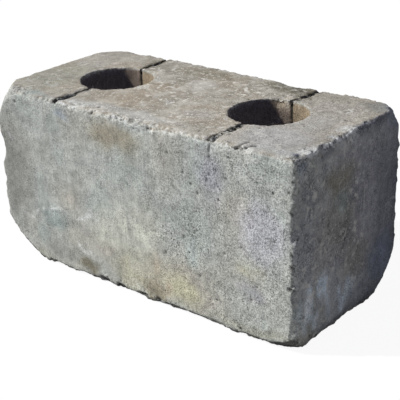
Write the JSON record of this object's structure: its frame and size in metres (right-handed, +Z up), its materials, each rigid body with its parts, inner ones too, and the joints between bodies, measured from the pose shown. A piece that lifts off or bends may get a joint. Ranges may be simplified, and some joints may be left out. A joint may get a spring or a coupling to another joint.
{
  "type": "cored concrete wall block",
  "caption": "Tumbled concrete wall block with round cores straight through from bed to top, narrow core-bar slits across them and worn corners.",
  "frame": {"origin": "middle of the bed face, the bottom of the block's box", "axes": "+X along the length, +Y from the face to the back, +Z up along the cores"},
  "size_m": [0.397, 0.184, 0.195],
  "materials": {
    "concrete": "matte"
  },
  "bodies": {
    "root": {"block": "concrete"}
  },
  "joints": []
}
